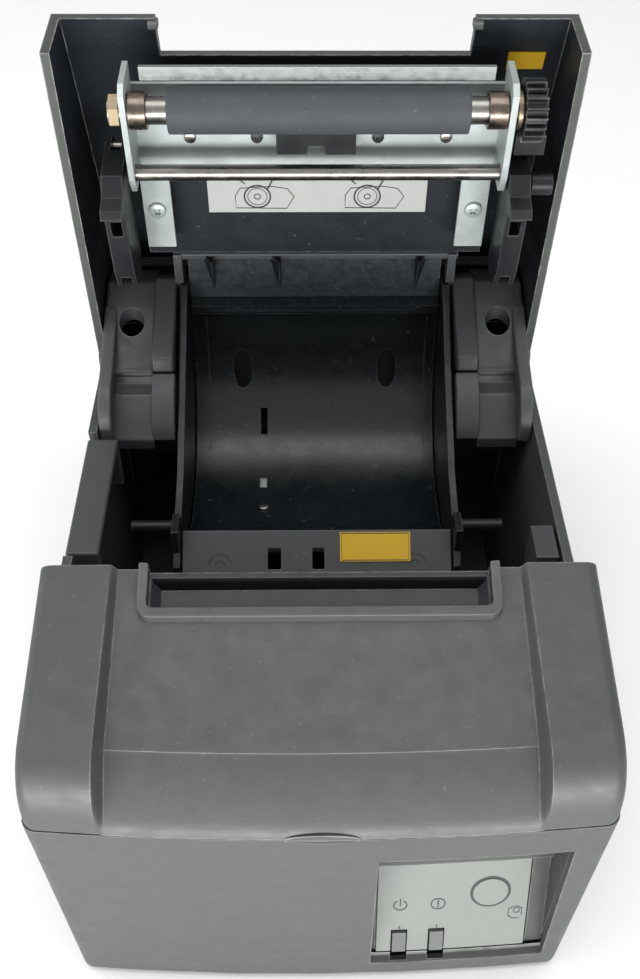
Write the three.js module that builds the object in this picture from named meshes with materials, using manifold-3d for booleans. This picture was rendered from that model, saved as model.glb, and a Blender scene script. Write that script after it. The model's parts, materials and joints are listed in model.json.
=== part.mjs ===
// Receipt printer, 80 mm paper, clamshell lid standing open.
// Millimetres. X to the right, Y from the front to the back, Z up.
import * as THREE from 'three';
import { mergeVertices } from 'three/addons/utils/BufferGeometryUtils.js';
import Module from 'manifold-3d';

const wasm = await Module();
wasm.setup();

// ---- driving dimensions ----
const FIT = 0.3;                       // gap between neighbouring pieces
const WALL = 2.4;                      // moulded case wall
const CASE = {
  half: 71, halfFoot: 66.5, front: -5, frontFoot: -6.5, floor: 2.5,
  seamFront: 76.8, seam: 84.5, sideEnd: 155, rearFoot: 176, rearTop: 41, corner: 3.4,
};
const NARROW = 67.4;                   // half width of the body beside the lid's ears
const HINGE = { y: 159, z: 87.5, pin: 2.2, hole: 2.5, boss: 4.2 };
const LEAN = THREE.MathUtils.degToRad(5);   // open lid's lean from upright
const LID = {
  half: 70.9, radius: 44.3, skin: 2.5, front: 107.2, rim: -2.2, edge: 18.5,
  heel: -8, notch: 43, notchDepth: 12,
  slope: THREE.MathUtils.degToRad(13.7), tail: THREE.MathUtils.degToRad(8),
};
const REAR_WALL = 39.2;                // radius of the fixed wall that the lid's tail passes behind
const COVER = { rear: 51.2, top: 106, half: 70.2, centre: 51.5, nose: 93.8 };
const EXIT = { half: 45.2, inside: 42.8, front: 37.5, rim: 3.2, high: 106.8 };
const ROLL = { y: 129.5, z: 90, r: 42, skin: 2, half: 41, backTop: 119.4, backY: 171.5, shelf: 97 };
const PLATE = { inner: 41.5, outer: 43.7 };
const DECK = { rearY: 98.4, rearZ: 67.6, frontY: 84, frontZ: 56.5, thick: 3, half: 41.1 };
const PLATEN = { u: 92.5, w: -4.6, x: 0.6, half: 39.9, rubber: 6.1, shaft: 3.6, left: -55, right: 61 };
const EAR = { inner: 50.9, outer: 52.1 };   // side ears of the platen frame, about PLATEN.x
const GUIDE = { u: 73.6, w: -4.8, r: 2.2 };
const LATCH = { u: 73.4, w: 8.4, pin: 1.4, inner: 53.2, outer: 59.2, sheet: 1.5 };
const DRIVE = { y: 60.6, z: 65.2, teeth: 24, x0: 55, x1: 59.6 };
const PINION = { y: 46.4, z: 62.4, teeth: 12 };
const LEVER = { x0: -70.8, x1: -61.4, y0: 74.4, y1: 122, top: 84.2, bottom: 66 };
const PANEL = { x0: 15.2, x1: 56, y: -3.4, z: 12, lean: THREE.MathUtils.degToRad(18.5), length: 32 };
const PITCH = 0.8;                     // gear module
const BUTTON = { x: 45.6, along: 19, radius: 4.8 };
const LIGHTS = [21.4, 31.6];
const PORTS = [
  { name: 'power_inlet', x: -46, z: 22, w: 26, h: 20, depth: 20 },
  { name: 'data_port', x: 0, z: 20, w: 12.5, h: 11.5, depth: 15 },
  { name: 'drawer_port', x: 34, z: 20, w: 14, h: 13, depth: 14 },
];
const SWITCH = { x: -62.6, y: 25, z: 21, half: 6.8, tilt: THREE.MathUtils.degToRad(8) };
const BOW = { depth: 3.2, full: 6, none: 36, slice: 24 };   // front face bulges by depth at the centre line
const CORNER_BLOCK = { x0: 61, x1: 67.5, y0: 72, y1: 84.4, z0: 71, z1: 84.2, wall: 1.6 };
const SCREW_WELL = { x: 59, y: 158.5, radius: 4.1 };
const FEET = [[-52, 10], [52, 10], [-52, 158], [52, 158]];

// ---- materials ----
function paint(color, roughness = 0.6, metalness = 0) {
  return new THREE.MeshStandardMaterial({ color, roughness, metalness });
}
const charcoal = () => paint(0x4b4c4e, 0.62);
const black = () => paint(0x1b1c1e, 0.5);
const glossBlack = () => paint(0x121315, 0.25);
const steel = () => paint(0xb9bbbd, 0.3, 1);
const zinc = () => paint(0xaab4b8, 0.45, 1);
const brassy = () => paint(0xb0935a, 0.35, 1);
const rubber = () => paint(0x30343b, 0.85);
const silver = () => paint(0xb5b9ba, 0.5, 0.2);
const white = () => paint(0xe8e8e4, 0.6);
const yellow = () => paint(0xf0b81e, 0.6);
const green = () => paint(0x23603f, 0.55);
const clear = () => paint(0xdfe3e4, 0.2);

// ---- solids ----
function solid(geometry) {
  const bare = new THREE.BufferGeometry();
  bare.setAttribute('position', geometry.getAttribute('position').clone());
  if (geometry.index) bare.setIndex(geometry.index.clone());
  const welded = mergeVertices(bare, 1e-4);
  return new wasm.Manifold(new wasm.Mesh({
    numProp: 3,
    vertProperties: Float32Array.from(welded.getAttribute('position').array),
    triVerts: Uint32Array.from(welded.index.array),
  }));
}

function outline(points) {
  return new THREE.Shape(points.map(([a, b]) => new THREE.Vector2(a, b)));
}

// Side view outline of [y, z] points, extruded from x0 to x1.
function prism(points, x0, x1) {
  const geometry = new THREE.ExtrudeGeometry(outline(points), { depth: x1 - x0, bevelEnabled: false });
  const turn = new THREE.Matrix4().makeBasis(
    new THREE.Vector3(0, 1, 0), new THREE.Vector3(0, 0, 1), new THREE.Vector3(1, 0, 0));
  geometry.applyMatrix4(turn);
  geometry.translate(x0, 0, 0);
  return solid(geometry);
}

// Plan view outline of [x, y] points, extruded from z0 to z1.
function slab(points, z0, z1) {
  const geometry = new THREE.ExtrudeGeometry(outline(points), { depth: z1 - z0, bevelEnabled: false });
  geometry.translate(0, 0, z0);
  return solid(geometry);
}

function box(x0, x1, y0, y1, z0, z1) {
  const geometry = new THREE.BoxGeometry(x1 - x0, y1 - y0, z1 - z0);
  geometry.translate((x0 + x1) / 2, (y0 + y1) / 2, (z0 + z1) / 2);
  return solid(geometry);
}

// Rod along X.
function rod(radius, x0, x1, y, z, sides = 24) {
  const geometry = new THREE.CylinderGeometry(radius, radius, x1 - x0, sides);
  geometry.rotateZ(Math.PI / 2);
  geometry.translate((x0 + x1) / 2, y, z);
  return solid(geometry);
}

// Rod along any direction, from one point to another.
function rodBetween(radius, from, to, sides = 20) {
  const a = new THREE.Vector3(...from);
  const b = new THREE.Vector3(...to);
  const way = b.clone().sub(a);
  const geometry = new THREE.CylinderGeometry(radius, radius, way.length(), sides);
  geometry.applyQuaternion(new THREE.Quaternion().setFromUnitVectors(
    new THREE.Vector3(0, 1, 0), way.clone().normalize()));
  geometry.translate((a.x + b.x) / 2, (a.y + b.y) / 2, (a.z + b.z) / 2);
  return solid(geometry);
}

function arc(cy, cz, radius, from, to, steps = 16) {
  return Array.from({ length: steps + 1 }, (_, i) => {
    const angle = from + (to - from) * i / steps;
    return [cy + radius * Math.cos(angle), cz + radius * Math.sin(angle)];
  });
}

function union(...solids) {
  return solids.reduce((sum, next) => sum.add(next));
}

// A body of plan sections {z, half, y0, y1, r}, each a rectangle with round corners.
function loft(sections, steps = 5) {
  const ring = ({ z, half, y0, y1, r }) => {
    const corners = [
      [half - r, y0 + r, -Math.PI / 2], [half - r, y1 - r, 0],
      [-half + r, y1 - r, Math.PI / 2], [-half + r, y0 + r, Math.PI],
    ];
    return corners.flatMap(([cx, cy, start]) => Array.from({ length: steps + 1 }, (_, i) => {
      const angle = start + (Math.PI / 2) * i / steps;
      return [cx + r * Math.cos(angle), cy + r * Math.sin(angle), z];
    }));
  };
  const rings = sections.map(ring);
  const count = rings[0].length;
  const points = rings.flat();
  const faces = [];
  for (let level = 0; level < rings.length - 1; level += 1) {
    for (let i = 0; i < count; i += 1) {
      const a = level * count + i;
      const b = level * count + (i + 1) % count;
      faces.push(a, b, b + count, a, b + count, a + count);
    }
  }
  const top = (rings.length - 1) * count;
  for (let i = 1; i < count - 1; i += 1) {
    faces.push(0, i + 1, i);
    faces.push(top, top + i, top + i + 1);
  }
  const geometry = new THREE.BufferGeometry();
  geometry.setAttribute('position', new THREE.Float32BufferAttribute(points.flat(), 3));
  geometry.setIndex(faces);
  return solid(geometry);
}

function gear(teeth, x0, x1, y, z, bore, phase = 0) {
  const pitchRadius = PITCH * teeth / 2;
  const step = 2 * Math.PI / teeth;
  const points = [];
  for (let i = 0; i < teeth; i += 1) {
    const middle = phase + i * step;
    const corner = (radius, share) => {
      const angle = middle + share * step;
      points.push([y + radius * Math.cos(angle), z + radius * Math.sin(angle)]);
    };
    corner(pitchRadius - 1.15 * PITCH, -0.28);
    corner(pitchRadius + 0.8 * PITCH, -0.1);
    corner(pitchRadius + 0.8 * PITCH, 0.1);
    corner(pitchRadius - 1.15 * PITCH, 0.28);
  }
  return prism(points, x0, x1).subtract(rod(bore, x0 - 1, x1 + 1, y, z));
}

// Coil spring from one point to another.
function coil(from, to, radius, wire, turns) {
  const start = new THREE.Vector3(...from);
  const way = new THREE.Vector3(...to).sub(start);
  const turn = new THREE.Quaternion().setFromUnitVectors(new THREE.Vector3(0, 0, 1), way.clone().normalize());
  const steps = turns * 10;
  const points = Array.from({ length: steps + 1 }, (_, i) => new THREE.Vector3(
    radius * Math.cos(i * Math.PI / 5), radius * Math.sin(i * Math.PI / 5), way.length() * i / steps)
    .applyQuaternion(turn).add(start));
  const section = new THREE.Shape();
  section.absarc(0, 0, wire, 0, 2 * Math.PI, false);
  return solid(new THREE.ExtrudeGeometry(section, {
    extrudePath: new THREE.CatmullRomCurve3(points), steps, curveSegments: 5, bevelEnabled: false,
  }));
}

// ---- lid's own frame: u runs from the hinge to the lid's front edge, w out through its top ----
function onLid([u, w]) {
  return [
    HINGE.y + w * Math.cos(LEAN) - u * Math.sin(LEAN),
    HINGE.z + u * Math.cos(LEAN) + w * Math.sin(LEAN),
  ];
}
const lidPrism = (points, x0, x1) => prism(points.map(onLid).reverse(), x0, x1);
const lidBox = (x0, x1, u0, u1, w0, w1) => lidPrism([[u0, w0], [u1, w0], [u1, w1], [u0, w1]], x0, x1);
const lidRod = (radius, x0, x1, u, w, sides) => rod(radius, x0, x1, ...onLid([u, w]), sides);

// Sheet lying across the lid: an outline of [x, u] points, from w0 to w1.
function lidSheet(points, w0, w1) {
  const geometry = new THREE.ExtrudeGeometry(outline(points), { depth: w1 - w0, bevelEnabled: false });
  geometry.translate(0, 0, w0);
  const along = new THREE.Vector3(0, -Math.sin(LEAN), Math.cos(LEAN));
  const out = new THREE.Vector3(0, Math.cos(LEAN), Math.sin(LEAN));
  const turn = new THREE.Matrix4().makeBasis(new THREE.Vector3(-1, 0, 0), along, out);
  geometry.applyMatrix4(turn);
  geometry.translate(0, HINGE.y, HINGE.z);
  return solid(geometry);
}

// Splits a body's triangles at planes of constant x, so that it can bend smoothly across its width.
function sliced(body, step) {
  const made = body.getMesh();
  const points = [];
  for (let i = 0; i < made.vertProperties.length; i += 3) {
    points.push([...made.vertProperties.slice(i, i + 3)]);
  }
  let faces = [];
  for (let i = 0; i < made.triVerts.length; i += 3) {
    faces.push([...made.triVerts.slice(i, i + 3)]);
  }
  const reach = Math.ceil(CASE.half / step) - 1;
  for (let k = -reach; k <= reach; k += 1) {
    const plane = k * step;
    const cuts = new Map();
    const cut = (a, b) => {
      const key = a < b ? `${a}_${b}` : `${b}_${a}`;
      if (!cuts.has(key)) {
        const [p, q] = a < b ? [points[a], points[b]] : [points[b], points[a]];
        const share = (plane - p[0]) / (q[0] - p[0]);
        cuts.set(key, points.push([plane, p[1] + (q[1] - p[1]) * share, p[2] + (q[2] - p[2]) * share]) - 1);
      }
      return cuts.get(key);
    };
    const side = (v) => Math.sign(Math.round((points[v][0] - plane) * 1000));
    faces = faces.flatMap((face) => {
      const sides = face.map(side);
      if (!sides.includes(1) || !sides.includes(-1)) return [face];
      const ring = [];
      for (let i = 0; i < 3; i += 1) {
        const next = (i + 1) % 3;
        ring.push(face[i]);
        if (sides[i] * sides[next] < 0) ring.push(cut(face[i], face[next]));
      }
      const halves = [1, -1].map((want) => ring.filter((v) => side(v) !== -want));
      return halves.flatMap((half) => half.slice(2).map((v, i) => [half[0], half[i + 1], v]));
    });
  }
  return { points, faces };
}

// Bulges the front of a body forwards, most on the centre line.
function bowed(body) {
  const { points, faces } = sliced(body, BOW.slice);
  const geometry = new THREE.BufferGeometry();
  geometry.setAttribute('position', new THREE.Float32BufferAttribute(points.flatMap(([x, y, z]) => {
    const fade = THREE.MathUtils.clamp((BOW.none - y) / (BOW.none - BOW.full), 0, 1);
    return [x, y - BOW.depth * fade * Math.max(0, 1 - (x / CASE.half) ** 2), z];
  }), 3));
  geometry.setIndex(faces.flat());
  return solid(geometry);
}

const printer = new THREE.Group();
function place(name, body, material) {
  const made = body.getMesh();
  const geometry = new THREE.BufferGeometry();
  geometry.setAttribute('position', new THREE.Float32BufferAttribute(made.vertProperties, 3));
  geometry.setIndex(new THREE.Uint32BufferAttribute(made.triVerts, 1));
  const mesh = new THREE.Mesh(geometry, material);
  mesh.name = name;
  printer.add(mesh);
}

// ---- base: lower case ----
function caseSections(inset) {
  const level = (z, share, y1) => ({
    z,
    half: CASE.halfFoot + (CASE.half - CASE.halfFoot) * share - inset,
    y0: CASE.frontFoot + (CASE.front - CASE.frontFoot) * share + inset,
    y1,
    r: CASE.corner - inset,
  });
  return [
    level(CASE.floor + inset, 0, CASE.sideEnd - inset),
    level(CASE.seam + (inset ? 5 : 0), 1, CASE.sideEnd - inset),
  ];
}

// Side outline of the closed space between the front half and the lid's sweep.
function rearOutline(inset) {
  const radius = REAR_WALL - inset;
  const low = THREE.MathUtils.degToRad(-81);
  const high = THREE.MathUtils.degToRad(22);
  return [
    [CASE.sideEnd - 6, CASE.floor + inset],
    [CASE.rearFoot - 4 - inset, CASE.floor + inset],
    [CASE.rearFoot - inset, CASE.rearTop - inset],
    [HINGE.y + radius * Math.cos(low), CASE.rearTop - inset],
    ...arc(HINGE.y, HINGE.z, radius, low, high),
    [CASE.sideEnd - 6, HINGE.z + radius * Math.sin(high)],
  ];
}

function seamCut() {
  return prism([[-20, CASE.seamFront], [0, CASE.seamFront], [COVER.rear, CASE.seam],
    [COVER.rear, 120], [-20, 120]], -90, 90);
}

function panelPoint(along, out) {
  const s = Math.sin(PANEL.lean);
  const c = Math.cos(PANEL.lean);
  return [PANEL.y + along * s - out * c, PANEL.z + along * c + out * s];
}

// Front half and rear half in one shell, with the panel recess, lever slot, sockets and hinge holes.
function lowerCase() {
  let shell = loft(caseSections(0)).add(prism(rearOutline(0), -NARROW, NARROW));
  const tall = loft(caseSections(WALL));
  shell = shell.subtract(tall.add(prism(rearOutline(WALL), -NARROW + WALL, NARROW - WALL)));
  shell = shell.subtract(box(-90, 90, CASE.sideEnd - 8, 191.4, 88, 130));
  const block = prism([[-3, 4], [14, 4], [14, 70], [-3, 70]], 11, 63);
  shell = shell.add(block);
  const mouth = [[-12, 7.5], panelPoint(-3, 0), panelPoint(PANEL.length, 0), panelPoint(PANEL.length, 2),
    [7, 66], [-12, 66]];
  shell = shell.subtract(prism(mouth, 13.6, 61));
  shell = shell.subtract(prism([panelPoint(-2, 1), panelPoint(-2, -1.1), panelPoint(PANEL.length + 0.4, -1.1),
    panelPoint(PANEL.length + 0.4, 1)], PANEL.x0 - FIT, PANEL.x1 + FIT));
  const hollow = prism([panelPoint(2, -5), panelPoint(2, -30), panelPoint(30, -30), panelPoint(30, -5)],
    PANEL.x0 + 1.8, PANEL.x1 + 1);
  shell = shell.subtract(hollow);
  shell = shell.subtract(rodBetween(5.2, [BUTTON.x, ...panelPoint(BUTTON.along, 4)],
    [BUTTON.x, ...panelPoint(BUTTON.along, -8)]));
  for (const x of LIGHTS) {
    shell = shell.subtract(prism([panelPoint(-4, 1.2), panelPoint(-4, -8), panelPoint(6.6, -8),
      panelPoint(6.6, 1.2)], x - 2.3, x + 2.3));
  }
  shell = shell.subtract(seamCut());
  shell = shell.subtract(box(-90, LEVER.x1 + 2, LEVER.y0 - 1, LEVER.y1 + 2.6, LEVER.bottom - 0.4, 120));
  for (const port of PORTS) {
    shell = shell.subtract(box(port.x - port.w / 2 - FIT, port.x + port.w / 2 + FIT, 160, 190,
      port.z - port.h / 2 - FIT, port.z + port.h / 2 + FIT));
  }
  shell = shell.subtract(box(-90, -60, SWITCH.y - SWITCH.half - 0.5, SWITCH.y + SWITCH.half + 0.5,
    SWITCH.z - 6.4, SWITCH.z + 6.4));
  for (const side of [-1, 1]) {
    shell = shell.subtract(rod(HINGE.hole, side * 66.2 - 3, side * 66.2 + 3, HINGE.y, HINGE.z));
  }
  return shell;
}

place('lower_case', bowed(lowerCase()), charcoal());

// Small square post at the right of the printing deck, open underneath.
function cornerBlock() {
  const { x0, x1, y0, y1, z0, z1, wall } = CORNER_BLOCK;
  return box(x0, x1, y0, y1, z0, z1)
    .subtract(box(x0 + wall, x1 - wall, y0 + wall, y1 - wall, z0 - 1, z1 - wall));
}
place('corner_block', cornerBlock(), charcoal());

for (const [i, [x, y]] of FEET.entries()) {
  place(`foot_${i + 1}`, rodBetween(6, [x, y, 0], [x, y, CASE.floor - 0.05]), rubber());
}

// ---- base: top frame with its two shoulders ----
// Each shoulder is a sloping skin with an outer guard, an inner flank and rib, and a screw well.
function shoulder(side) {
  const flip = (x0, x1) => (side > 0 ? [x0, x1] : [-x1, -x0]);
  const top = [[128, 79], [141, 88.6], [144.7, 92.2], [162, 104.6], [172, 108.6], [184, 104.6], [190, 98]];
  const under = top.map(([y, z]) => [y, z - WALL]).reverse();
  const skin = prism([...top, ...under], ...flip(46, 67.6));
  const guard = prism([[125.2, 79], [125.2, 96.3], [157, 100.2], [162, 104.6], [172, 108.6], [184, 104.6],
    [190, 98], [190, 88.4], [147, 88.4], [143, 79]].reverse(), ...flip(65.4, 68));
  const flank = prism([[128, 70], [128, 79], [141, 88.6], [162, 104.6], [172, 108.6], [184, 104.6], [190, 98],
    [190, 90], [160, 80], [150, 70]], ...flip(46, 48));
  const lip = prism([[125.2, 76], [125.2, 79], [130.5, 79], [128.5, 76]].reverse(), ...flip(46, 65.6));
  const rib = prism([[142, 89], [142, 98], [147, 103], [172, 111], [174, 108], [160, 100]],
    ...flip(44.2, 48.4));
  const step = prism([[128, 76], [128, 85], [142, 92], [144, 90], [134, 78]], ...flip(44.2, 52));
  const screwWell = rodBetween(SCREW_WELL.radius, [side * SCREW_WELL.x, SCREW_WELL.y, 122],
    [side * SCREW_WELL.x, SCREW_WELL.y, 84]);
  const pinHole = rod(HINGE.hole, side * 66.5 - 3, side * 66.5 + 3, HINGE.y, HINGE.z);
  return union(skin, guard, flank, lip, rib, step).subtract(screwWell.add(pinHole));
}

function topFrame() {
  const bridge = prism([[177, 96], [177, 100], [192, 97.5], [191, 95]], -50, 50);
  return union(shoulder(1), shoulder(-1), bridge);
}
place('top_frame', topFrame(), charcoal());

// ---- base: roll holder, side plates and paper guide ----
// Round scoop with a back wall, its ribs, and the holes and windows for the paper sensors.
function rollHolder() {
  const from = THREE.MathUtils.degToRad(-131);
  const to = THREE.MathUtils.degToRad(8);
  const inner = arc(ROLL.y, ROLL.z, ROLL.r, from, to, 24);
  const outer = arc(ROLL.y, ROLL.z, ROLL.r + ROLL.skin, from, to, 24).reverse();
  const scoop = prism([...inner, ...outer], -ROLL.half, ROLL.half);
  const { backY, backTop, shelf } = ROLL;
  const back = prism([[backY, shelf - 4], [backY + 3, shelf - 4], [backY + 3, backTop], [backY + 1.2, backTop]],
    -ROLL.half, ROLL.half);
  const lip = box(-ROLL.half - 4.4, ROLL.half + 4.4, backY + 0.4, backY + 6, backTop - 1.6, backTop);
  let body = union(scoop, back, lip);
  for (const x of [-34.2, -12.8, 34.4]) {
    body = body.add(prism([[backY - 5, backTop], [backY + 1, shelf + 1], [backY + 2, shelf + 1],
      [backY + 2, backTop]], x - 0.6, x + 0.6));
  }
  const spoke = (x, degrees, radius) => {
    const angle = THREE.MathUtils.degToRad(degrees);
    const point = (r) => [x, ROLL.y + r * Math.cos(angle), ROLL.z + r * Math.sin(angle)];
    return rodBetween(radius, point(ROLL.r - 4), point(ROLL.r + 6));
  };
  for (const x of [-24.8, 24.8]) {
    body = body.subtract(union(...[-17, -21.5, -26].map((degrees) => spoke(x, degrees, 3.4))));
  }
  body = body.subtract(union(...[-42, -44.5, -47, -49.5, -52].map((degrees) => spoke(-17.7, degrees, 1.3))));
  return body.subtract(spoke(-17.7, -78, 1.2));
}
place('roll_holder', rollHolder(), glossBlack());

const sidePlate = [[88, 50], [88, 62], [98, 68.5], [117, 74], [146, 92], [165, 105.5], [169, 108.5],
  [ROLL.backY - 0.3, 108.5], [ROLL.backY - 0.3, 84], [150, 50]];
for (const [name, side] of [['left', -1], ['right', 1]]) {
  const span = (from, to) => (side < 0 ? [-to, -from] : [from, to]);
  place(`side_plate_${name}`, prism(sidePlate, ...span(PLATE.inner, PLATE.outer))
    .add(prism([[92, 64], [92, 73.6], [100, 73.6], [104, 64]], ...span(PLATE.inner, PLATE.outer)))
    .add(rod(1.8, ...span(PLATE.outer - 1, 56), 97, 71.2)), black());
}

function paperGuide() {
  const { rearY, rearZ, frontY, frontZ, thick, half } = DECK;
  let deck = prism([[frontY, frontZ], [rearY, rearZ], [rearY + 1.5, rearZ - 8], [rearY - 0.5, rearZ - 8],
    [rearY - 1.5, rearZ - thick], [frontY, frontZ - thick]], -half, half);
  for (const [x, w] of [[-13, 4], [0.4, 3.6]]) {
    deck = deck.subtract(box(x - w / 2, x + w / 2, 89, 94, 50, 80));
  }
  return deck;
}
place('paper_guide', paperGuide(), charcoal());

function deckPoint(along, up) {
  const tilt = Math.atan2(DECK.rearZ - DECK.frontZ, DECK.rearY - DECK.frontY);
  return [DECK.frontY + along * Math.cos(tilt) - up * Math.sin(tilt),
    DECK.frontZ + along * Math.sin(tilt) + up * Math.cos(tilt)];
}
place('heat_label', prism([deckPoint(8.4, 0.1), deckPoint(17.4, 0.1), deckPoint(17.4, 0.4),
  deckPoint(8.4, 0.4)], 7, 28.5), yellow());

// ---- base: front cover ----
function coverOutline(points, inset) {
  const bottom = inset ? -4 : 0;
  return [
    ...points.map(([y, z]) => [y + inset * 0.8, z - inset]),
    [COVER.rear - inset, CASE.seam + FIT + bottom],
    [0, CASE.seamFront + FIT + bottom],
    [points[0][0] + inset * 0.8, CASE.seamFront + FIT + bottom],
  ].reverse();
}
const sideTop = [[-4.9, CASE.seamFront + 0.4], [-4.8, 81], [-4.1, 84.6], [-3, 87.8], [-1.3, 90.8],
  [1.4, COVER.nose], [4.6, 95.6], [8.4, 96.9], [COVER.rear, COVER.top]];
const centreTop = [[-5.2, CASE.seamFront + 0.4], [-3.8, 79.4], [-1, 82.4], [3, 86.4], [9.4, 91.4],
  [COVER.rear, 104.2]];

// Plan of the cover with the case's round front corners.
function roundPlan() {
  const { corner } = CASE;
  const { half } = COVER;
  const front = CASE.frontFoot;
  const right = arc(half - corner, front + corner, corner, -Math.PI / 2, 0, 6);
  const left = arc(corner - half, front + corner, corner, Math.PI, 1.5 * Math.PI, 6);
  return slab([...right, [half, COVER.rear + 1], [-half, COVER.rear + 1], ...left], 60, 130);
}

// High sides, a lower centre, the framed paper exit, and a finger notch at the front seam.
function frontCover() {
  const half = COVER.half;
  let body = prism(coverOutline(sideTop, 0), -half, half);
  const above = prism([...centreTop.slice(1), [COVER.rear + 1, 120], [-20, 120], [-20, centreTop[1][1]]]
    .reverse(), -COVER.centre, COVER.centre);
  body = body.subtract(above);
  body = body.add(prism([[EXIT.front, 96], [EXIT.front, 101.4], [EXIT.front + 1.2, 102.6],
    [COVER.rear, EXIT.high], [COVER.rear, 96]].reverse(), -EXIT.half, EXIT.half));
  const hollow = prism([[0.4, 70], [0.4, 79.6], [6, 85.4], [11, 88.6], [EXIT.front - 2, 95.2],
    [COVER.rear + 1, 94.6], [COVER.rear + 1, 70]].reverse(), -half + WALL, half - WALL);
  body = body.subtract(hollow);
  const exit = prism([[EXIT.front + EXIT.rim, 120], [EXIT.front + EXIT.rim, 104], [EXIT.front + 7, 99.6],
    [COVER.rear + 1, 99.6], [COVER.rear + 1, 120]].reverse(), -EXIT.inside, EXIT.inside);
  const slot = box(-EXIT.inside, EXIT.inside, COVER.rear - 3.4, COVER.rear + 1, 80, 120);
  body = body.subtract(exit.add(slot));
  const notch = rodBetween(17, [0, -19.6, CASE.seamFront + 0.8], [0, -19.6, CASE.seamFront - 3]);
  return body.subtract(notch).intersect(roundPlan());
}
place('front_cover', bowed(frontCover()), charcoal());

// ---- base: tear bar, cutter and print head under the front cover ----
const edgeY = COVER.rear - 2.6;
place('tear_bar', prism([[edgeY - 0.4, 88], [edgeY + 1.2, 88], [edgeY + 1.2, 104.2], [edgeY + 0.4, 105.4],
  [edgeY - 0.4, 104.2]].reverse(), -EXIT.inside + FIT, EXIT.inside - FIT), steel());
place('moving_blade', box(-42, 42, 30, 48.8, 84.5, 85.3), steel());
place('cutter_bed', box(-46, 46, 20, 47, 82.4, 84.1), zinc());
place('cutter_motor', rodBetween(9, [-24, 26, 71], [8, 26, 71]), zinc());

function headPoint(along, out) {
  const tilt = THREE.MathUtils.degToRad(37);
  const closed = [HINGE.y - PLATEN.u, HINGE.z + PLATEN.w];
  const reach = PLATEN.rubber + FIT + out;
  return [closed[0] - reach * Math.cos(tilt) + along * Math.sin(tilt),
    closed[1] - reach * Math.sin(tilt) - along * Math.cos(tilt)];
}
const headOutline = [headPoint(-3, 0), headPoint(13, 0), headPoint(13, 1), headPoint(-3, 1)];
place('print_head', prism(headOutline, -40.6, 40.6), paint(0x8a6f52, 0.4));
place('head_heat_sink', prism([headPoint(-3, 1.3), headPoint(13, 1.3), headPoint(13, 5), headPoint(4, 5),
  headPoint(4, 7), headPoint(-3, 7)], -42, 42), paint(0xa9acae, 0.4, 1));

// ---- base: drive and electronics ----
const meshAngle = Math.atan2(PINION.z - DRIVE.z, PINION.y - DRIVE.y);
place('drive_gear', gear(DRIVE.teeth, DRIVE.x0, DRIVE.x1, DRIVE.y, DRIVE.z, 2.15, meshAngle)
  .add(rod(2.6, DRIVE.x0 - 2.5, DRIVE.x1 + 1.6, DRIVE.y, DRIVE.z)), black());
place('motor_pinion', gear(PINION.teeth, DRIVE.x0, DRIVE.x1, PINION.y, PINION.z, 1.15,
  meshAngle + Math.PI + Math.PI / PINION.teeth), brassy());
place('feed_motor', rod(11, 28, 51, PINION.y, PINION.z, 28)
  .add(rod(1.05, 50, DRIVE.x1 + 0.6, PINION.y, PINION.z)), zinc());
place('main_board', box(-40, 40, 20, 150, 9, 10.6), green());
place('power_supply', box(-56, -6, 22, 70, 12, 46), zinc());
for (const port of PORTS) {
  const { x, z, w, h, depth } = port;
  const front = CASE.rearFoot - 0.8;
  const hood = (wide, high, y0, y1) => box(x - wide / 2, x + wide / 2, y0, y1, z - high / 2, z + high / 2);
  const socket = hood(w - 3.2, h - 3.2, front - depth + 4, front + 1);
  place(port.name, hood(w, h, front - depth, front).subtract(socket), black());
}
function switchRocker() {
  const { x, y, z, half, tilt } = SWITCH;
  const face = [[-4.6, -half + 0.5], [-3.6, 0], [-4.6, half - 0.5], [0.6, 3], [0.6, -3]];
  const turned = face.map(([a, b]) => [x + a * Math.cos(tilt) - b * Math.sin(tilt),
    y + a * Math.sin(tilt) + b * Math.cos(tilt)]);
  return slab(turned.reverse(), z - 5.8, z + 5.8);
}
place('power_switch', switchRocker(), black());

// ---- base: control panel ----
function panelPiece(points, x0, x1) {
  return prism(points.map(([along, out]) => panelPoint(along, out)).reverse(), x0, x1);
}
function panelPlate() {
  const { length } = PANEL;
  let plate = panelPiece([[-1.6, -0.8], [-1.6, 0], [length, 0], [length, -0.8]], PANEL.x0, PANEL.x1);
  plate = plate.subtract(rodBetween(BUTTON.radius + 0.35, [BUTTON.x, ...panelPoint(BUTTON.along, 2)],
    [BUTTON.x, ...panelPoint(BUTTON.along, -3)]));
  for (const x of LIGHTS) {
    plate = plate.subtract(panelPiece([[-4, -2], [-4, 2], [6.4, 2], [6.4, -2]], x - 2.2, x + 2.2));
  }
  return plate;
}
place('panel_plate', bowed(panelPlate()), silver());
place('feed_button', bowed(rodBetween(BUTTON.radius, [BUTTON.x, ...panelPoint(BUTTON.along, 0.3)],
  [BUTTON.x, ...panelPoint(BUTTON.along, -5.4)], 28)), silver());
for (const [i, x] of LIGHTS.entries()) {
  place(i ? 'light_pipe_error' : 'light_pipe_power',
    bowed(panelPiece([[-1.2, -3], [-1.2, 0.8], [6, 0.8], [6, -3]], x - 1.9, x + 1.9)), clear());
}
place('panel_board', bowed(panelPiece([[3, -8.6], [3, -7.2], [29, -7.2], [29, -8.6]], 19, 55)), green());

// ---- base: cover-open lever ----
function openLever() {
  const { x0, x1, y0, y1, top, bottom } = LEVER;
  const body = box(x0, x1, y0, y1, bottom, top);
  return body.subtract(box(x0 + 2, x1 + 1, y0 + 2, y1 - 2, bottom - 1, top - 2));
}
place('open_lever', openLever(), charcoal());

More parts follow.
